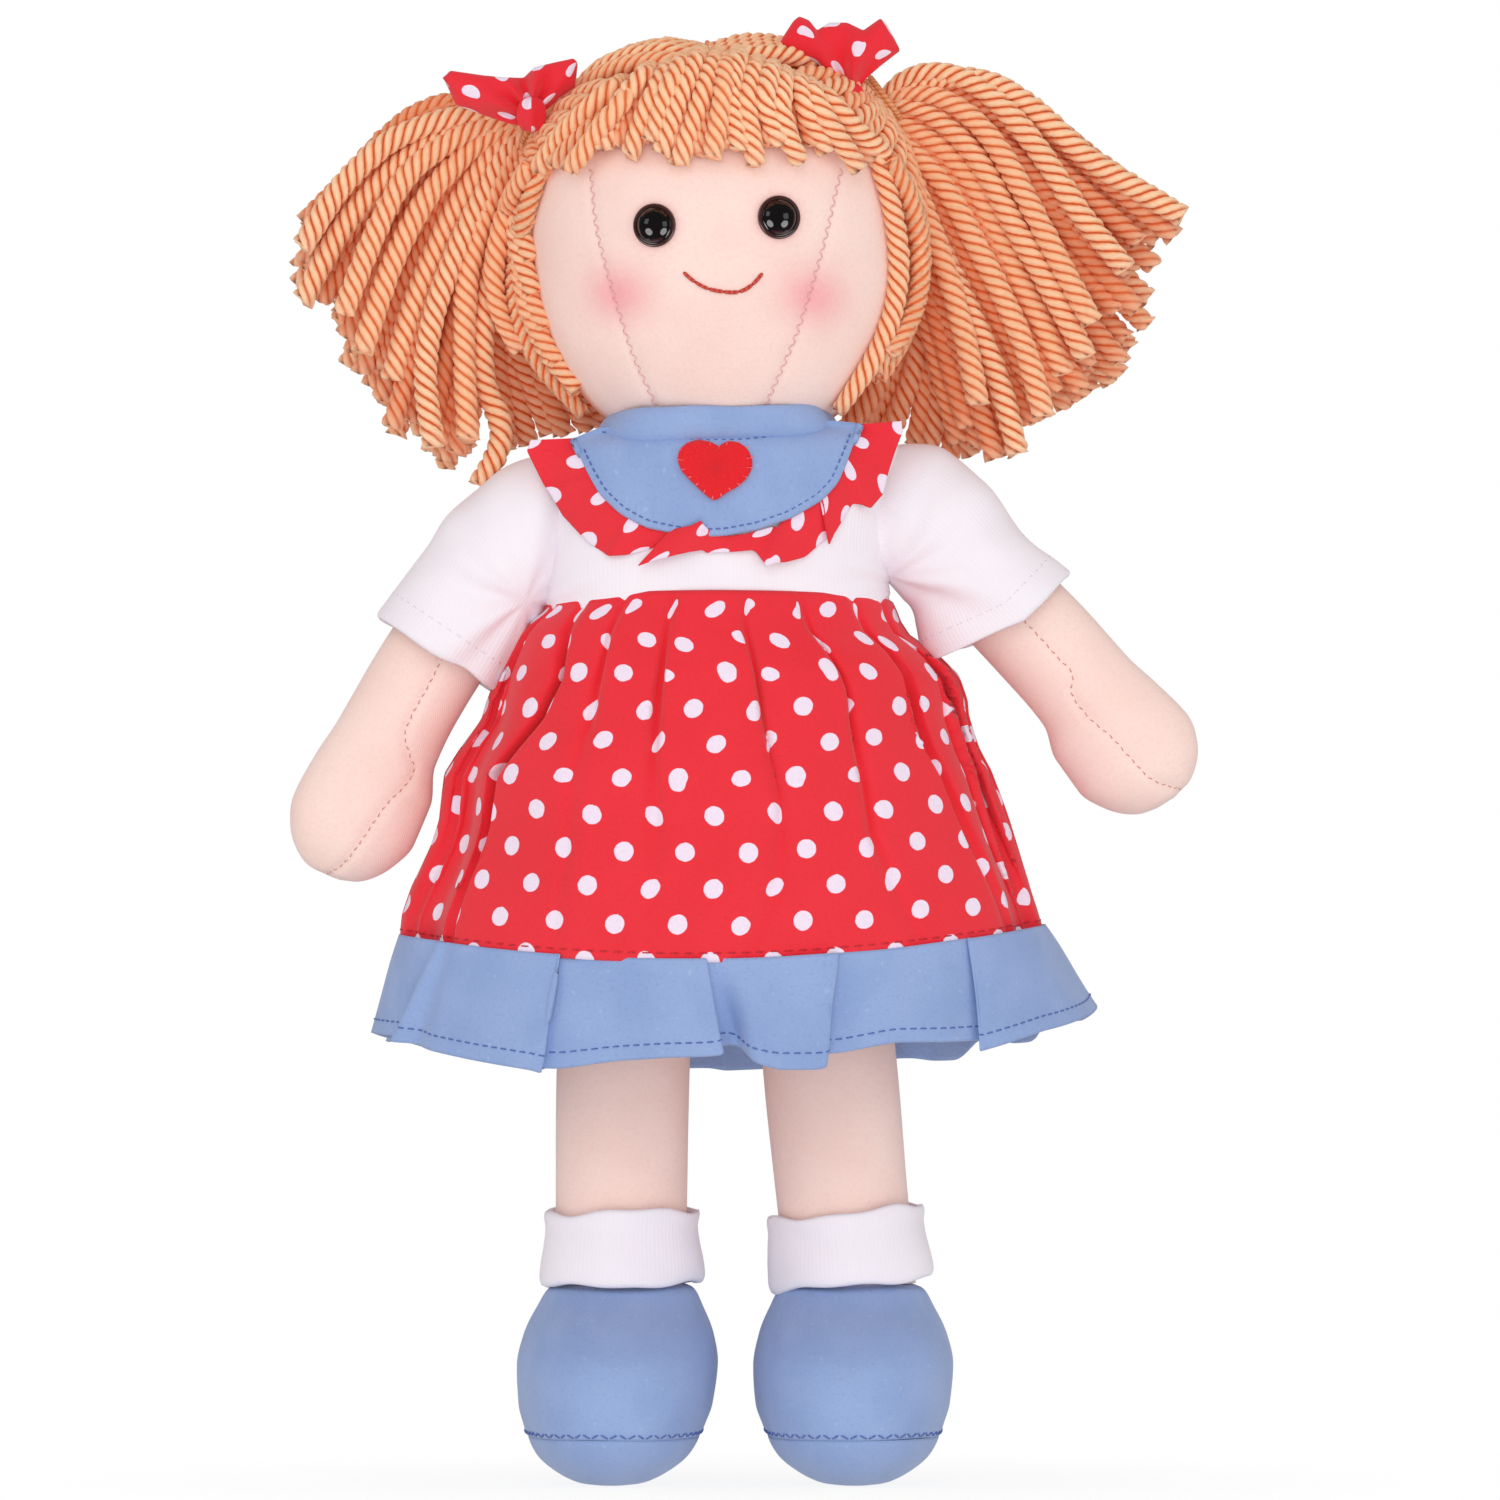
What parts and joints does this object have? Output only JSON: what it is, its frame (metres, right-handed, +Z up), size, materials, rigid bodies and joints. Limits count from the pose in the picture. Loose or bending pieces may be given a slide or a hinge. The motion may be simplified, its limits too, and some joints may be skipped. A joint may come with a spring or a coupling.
{
  "type": "rag doll",
  "caption": "Soft rag doll with yarn pigtails in bows, safety eyes, a spotted gathered dress with a plain bib and hem, folded socks and stuffed cloth shoes.",
  "frame": {"origin": "on the surface that the shoes stand on, under the middle of the doll's box", "axes": "+Z up from the shoes to the hair; the doll looks along -Y, and its own left side is +X"},
  "size_m": [0.2194, 0.1206, 0.3472],
  "materials": {
    "skin": "matte",
    "red_spotted_cotton": "matte",
    "blue_cotton": "matte",
    "white_jersey": "matte",
    "yarn": "matte",
    "red_felt": "matte",
    "red_thread": "matte",
    "hair_elastic": "matte",
    "hook_and_loop": "matte",
    "eye_plastic": "gloss",
    "washer_plastic": "matte"
  },
  "bodies": {
    "torso": {"torso": "skin", "bodice": "white_jersey", "bib": "blue_cotton", "bib_ruffle": "red_spotted_cotton", "heart_patch": "red_felt", "neckband": "blue_cotton", "back_placket": "white_jersey", "hook_strip": "hook_and_loop", "loop_strip": "hook_and_loop"},
    "head": {"head": "skin", "eye_right": "eye_plastic", "eye_left": "eye_plastic", "eye_washer_right": "washer_plastic", "eye_washer_left": "washer_plastic", "mouth_stitch": "red_thread", "hair_half_right": "yarn", "hair_half_left": "yarn", "fringe": "yarn", "pigtail_right": "yarn", "pigtail_left": "yarn", "hair_tie_right": "hair_elastic", "hair_tie_left": "hair_elastic", "bow_right": "red_spotted_cotton", "bow_left": "red_spotted_cotton"},
    "arm_right": {"arm_right": "skin", "sleeve_right": "white_jersey"},
    "arm_left": {"arm_left": "skin", "sleeve_left": "white_jersey"},
    "hips": {"skirt": "red_spotted_cotton", "hem_ruffle": "blue_cotton"},
    "leg_right": {"leg_right": "skin", "sock_cuff_right": "white_jersey", "shoe_upper_right": "blue_cotton", "shoe_sole_right": "blue_cotton"},
    "leg_left": {"leg_left": "skin", "sock_cuff_left": "white_jersey", "shoe_upper_left": "blue_cotton", "shoe_sole_left": "blue_cotton"}
  },
  "joints": [
    {"name": "head_nod", "type": "hinge", "parent": "torso", "child": "head", "pos_m": [-0.00656, -0.00063, 0.2469], "axis": [1, 0, 0], "range_deg": [-14, 18], "deforming": ["neckband"]},
    {"name": "shoulder_right", "type": "hinge", "parent": "torso", "child": "arm_right", "pos_m": [-0.0453, -0.00063, 0.236], "axis": [0, 1, 0], "range_deg": [-2, 45], "deforming": ["sleeve_right"]},
    {"name": "shoulder_left", "type": "hinge", "parent": "torso", "child": "arm_left", "pos_m": [0.03218, -0.00063, 0.236], "axis": [0, -1, 0], "range_deg": [-12, 38], "deforming": ["sleeve_left"]},
    {"name": "sit_fold", "type": "hinge", "parent": "torso", "child": "hips", "pos_m": [-0.00656, -0.00063, 0.152], "axis": [-1, 0, 0], "range_deg": [0, 80], "deforming": ["skirt", "hem_ruffle"]},
    {"name": "hip_right", "type": "hinge", "parent": "hips", "child": "leg_right", "pos_m": [-0.02856, -0.00063, 0.152], "axis": [-1, 0, 0], "range_deg": [-18, 18]},
    {"name": "hip_left", "type": "hinge", "parent": "hips", "child": "leg_left", "pos_m": [0.01544, -0.00063, 0.152], "axis": [-1, 0, 0], "range_deg": [-18, 18]}
  ]
}
